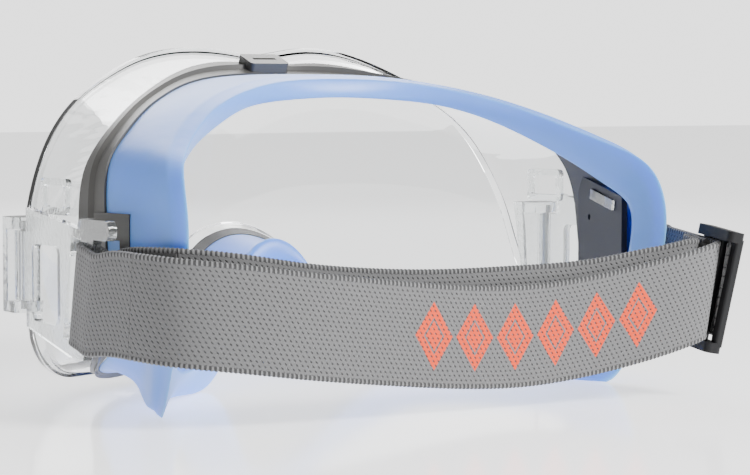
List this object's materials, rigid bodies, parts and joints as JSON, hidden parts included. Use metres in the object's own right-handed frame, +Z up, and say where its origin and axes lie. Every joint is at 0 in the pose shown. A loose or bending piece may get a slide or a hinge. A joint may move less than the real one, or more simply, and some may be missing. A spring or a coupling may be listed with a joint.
{
  "type": "sports protective goggles",
  "caption": "Wrap-around protective goggles: clear lens shell, hard grey frame, soft blue face seal, hinged clear strap clips and an adjustable elastic strap with a slide buckle.",
  "frame": {"origin": "middle of the goggles' footprint, on the symmetry plane and level with the floor that the cheeks of the seal stand on", "axes": "+X to the wearer's left, -Y the way the wearer looks, +Z up"},
  "size_m": [0.185, 0.1486, 0.0984],
  "materials": {
    "clear_plastic": "clear injection-moulded polycarbonate, glossy",
    "grey_plastic": "warm grey moulded, satin",
    "blue_elastomer": "translucent pale blue soft elastomer, satin",
    "slate_plastic": "dark slate moulded, matte",
    "steel": "plain wire",
    "grey_webbing": "knitted elastic webbing, grey with an orange woven motif",
    "black_plastic": "black moulded, matte",
    "red_ribbon": "woven ribbon"
  },
  "bodies": {
    "goggles": {"lens": "clear_plastic", "frame": "grey_plastic", "brow_clip": "grey_plastic", "face_seal": "blue_elastomer", "temple_panel_left": "slate_plastic", "temple_panel_right": "slate_plastic", "lens_catch_left": "clear_plastic", "lens_catch_right": "clear_plastic", "lens_latch_left": "clear_plastic", "lens_latch_right": "clear_plastic", "pivot_housing_left": "clear_plastic", "pivot_housing_right": "clear_plastic", "hinge_pin_left": "steel", "hinge_pin_right": "steel", "strap_outer_run": "grey_webbing", "strap_inner_run": "grey_webbing", "strap_far_tail": "grey_webbing"},
    "clip_left": {"strap_clip_left": "clear_plastic", "strap_loop_left": "grey_webbing"},
    "clip_right": {"strap_clip_right": "clear_plastic", "strap_loop_right": "grey_webbing"},
    "buckle": {"slide_buckle": "black_plastic", "strap_crossing": "grey_webbing", "strap_end_fold": "grey_webbing", "size_tag": "red_ribbon"}
  },
  "joints": [
    {"name": "left_clip_swing", "type": "hinge", "parent": "goggles", "child": "clip_left", "pos_m": [0.0886, -0.024, 0.0375], "axis": [0, 0, -1], "range_deg": [0, 15]},
    {"name": "right_clip_swing", "type": "hinge", "parent": "goggles", "child": "clip_right", "pos_m": [-0.0886, -0.024, 0.0375], "axis": [0, 0, 1], "range_deg": [0, 15]},
    {"name": "buckle_slide", "type": "slide", "parent": "goggles", "child": "buckle", "axis": [-0.1429, -0.9853, 0.094], "range_m": [0, 0.01]}
  ]
}
